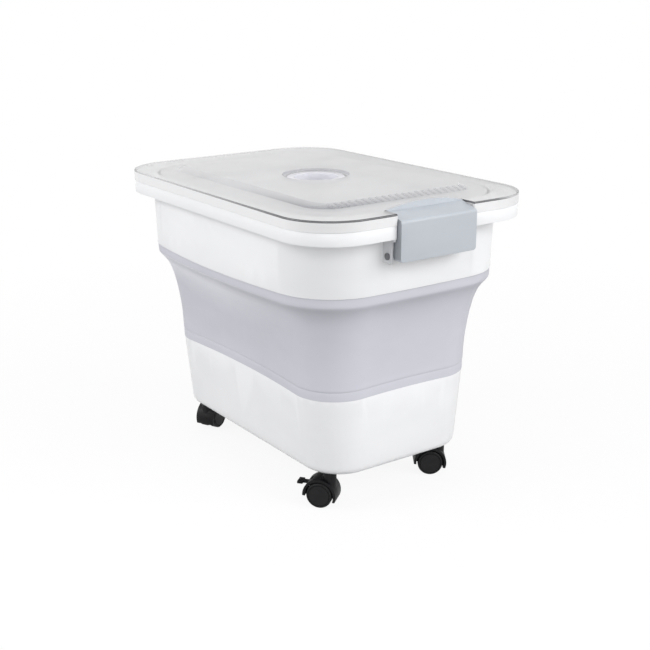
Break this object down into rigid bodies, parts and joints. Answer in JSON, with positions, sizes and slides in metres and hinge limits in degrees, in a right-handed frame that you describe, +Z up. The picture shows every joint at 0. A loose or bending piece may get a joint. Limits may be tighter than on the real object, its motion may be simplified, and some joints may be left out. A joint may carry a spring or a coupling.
{
  "type": "collapsible food storage bin",
  "caption": "Rectangular bin with a rigid base, a folding band, a rigid collar, a hinged clear lid, a front latch and swivel casters.",
  "frame": {"origin": "middle of the footprint, on the floor under the casters", "axes": "+Z up, +Y along the length away from the latch, +X across the width"},
  "size_m": [0.305, 0.451, 0.3535],
  "materials": {
    "white_plastic": "smooth moulded polypropylene",
    "soft_band": "satin thermoplastic elastomer",
    "clear_plastic": "clear, glossy",
    "soft_seal": "milky soft seal",
    "grey_plastic": "satin moulded plastic",
    "pin_plastic": "satin",
    "steel": "plated",
    "black_plastic": "fine texture nylon",
    "wheel_plastic": "smooth nylon"
  },
  "bodies": {
    "base": {"base_tub": "white_plastic", "folding_band": "soft_band", "caster_stem_front_left": "steel", "caster_stem_front_right": "steel", "caster_stem_rear_left": "steel", "caster_stem_rear_right": "steel"},
    "collar": {"collar": "white_plastic", "latch_pin": "pin_plastic", "hinge_pins": "steel"},
    "lid": {"lid": "clear_plastic", "lid_seal": "soft_seal"},
    "measuring_cup": {"measuring_cup": "clear_plastic"},
    "latch": {"latch": "grey_plastic"},
    "caster_front_left": {"caster_hood_front_left": "black_plastic", "caster_axle_front_left": "steel"},
    "wheel_front_left_a": {"wheel_front_left_a": "wheel_plastic"},
    "wheel_front_left_b": {"wheel_front_left_b": "wheel_plastic"},
    "brake_lever_front_left": {"brake_lever_front_left": "black_plastic"},
    "caster_front_right": {"caster_hood_front_right": "black_plastic", "caster_axle_front_right": "steel"},
    "wheel_front_right_a": {"wheel_front_right_a": "wheel_plastic"},
    "wheel_front_right_b": {"wheel_front_right_b": "wheel_plastic"},
    "caster_rear_left": {"caster_hood_rear_left": "black_plastic", "caster_axle_rear_left": "steel"},
    "wheel_rear_left_a": {"wheel_rear_left_a": "wheel_plastic"},
    "wheel_rear_left_b": {"wheel_rear_left_b": "wheel_plastic"},
    "caster_rear_right": {"caster_hood_rear_right": "black_plastic", "caster_axle_rear_right": "steel"},
    "wheel_rear_right_a": {"wheel_rear_right_a": "wheel_plastic"},
    "wheel_rear_right_b": {"wheel_rear_right_b": "wheel_plastic"},
    "brake_lever_rear_right": {"brake_lever_rear_right": "black_plastic"}
  },
  "joints": [
    {"name": "collapse_slide", "type": "slide", "parent": "base", "child": "collar", "axis": [0, 0, -1], "range_m": [0, 0.18], "deforming": ["folding_band"]},
    {"name": "lid_hinge", "type": "hinge", "parent": "collar", "child": "lid", "pos_m": [0, 0.2215, 0.334], "axis": [-1, 0, 0], "range_deg": [0, 105]},
    {"name": "latch_turn", "type": "hinge", "parent": "collar", "child": "latch", "pos_m": [0, -0.2079, 0.3014], "axis": [1, 0, 0], "range_deg": [0, 95]},
    {"name": "cup_lift", "type": "slide", "parent": "lid", "child": "measuring_cup", "axis": [0, 0, 1], "range_m": [0, 0.06]},
    {"name": "swivel_front_left", "type": "hinge", "parent": "base", "child": "caster_front_left", "pos_m": [-0.08, -0.14, 0.03], "axis": [0, 0, 1], "continuous": true},
    {"name": "spin_front_left_a", "type": "hinge", "parent": "caster_front_left", "child": "wheel_front_left_a", "pos_m": [-0.08629, -0.13223, 0.015], "axis": [-0.7771, -0.6293, 0], "continuous": true},
    {"name": "spin_front_left_b", "type": "hinge", "parent": "caster_front_left", "child": "wheel_front_left_b", "pos_m": [-0.08629, -0.13223, 0.015], "axis": [-0.7771, -0.6293, 0], "continuous": true},
    {"name": "brake_front_left", "type": "hinge", "parent": "caster_front_left", "child": "brake_lever_front_left", "pos_m": [-0.09479, -0.12174, 0.025], "axis": [-0.7771, -0.6293, 0], "range_deg": [0, 12]},
    {"name": "swivel_front_right", "type": "hinge", "parent": "base", "child": "caster_front_right", "pos_m": [0.08, -0.14, 0.03], "axis": [0, 0, 1], "continuous": true},
    {"name": "spin_front_right_a", "type": "hinge", "parent": "caster_front_right", "child": "wheel_front_right_a", "pos_m": [0.07181, -0.13426, 0.015], "axis": [-0.5736, -0.8192, 0], "continuous": true},
    {"name": "spin_front_right_b", "type": "hinge", "parent": "caster_front_right", "child": "wheel_front_right_b", "pos_m": [0.07181, -0.13426, 0.015], "axis": [-0.5736, -0.8192, 0], "continuous": true},
    {"name": "swivel_rear_left", "type": "hinge", "parent": "base", "child": "caster_rear_left", "pos_m": [-0.08, 0.14, 0.03], "axis": [0, 0, 1], "continuous": true},
    {"name": "spin_rear_left_a", "type": "hinge", "parent": "caster_rear_left", "child": "wheel_rear_left_a", "pos_m": [-0.07117, 0.14469, 0.015], "axis": [-0.4695, 0.8829, 0], "continuous": true},
    {"name": "spin_rear_left_b", "type": "hinge", "parent": "caster_rear_left", "child": "wheel_rear_left_b", "pos_m": [-0.07117, 0.14469, 0.015], "axis": [-0.4695, 0.8829, 0], "continuous": true},
    {"name": "swivel_rear_right", "type": "hinge", "parent": "base", "child": "caster_rear_right", "pos_m": [0.08, 0.14, 0.03], "axis": [0, 0, 1], "continuous": true},
    {"name": "spin_rear_right_a", "type": "hinge", "parent": "caster_rear_right", "child": "wheel_rear_right_a", "pos_m": [0.07826, 0.14985, 0.015], "axis": [-0.9848, -0.1736, 0], "continuous": true},
    {"name": "spin_rear_right_b", "type": "hinge", "parent": "caster_rear_right", "child": "wheel_rear_right_b", "pos_m": [0.07826, 0.14985, 0.015], "axis": [-0.9848, -0.1736, 0], "continuous": true},
    {"name": "brake_rear_right", "type": "hinge", "parent": "caster_rear_right", "child": "brake_lever_rear_right", "pos_m": [0.07592, 0.16314, 0.025], "axis": [-0.9848, -0.1736, 0], "range_deg": [0, 12]}
  ]
}
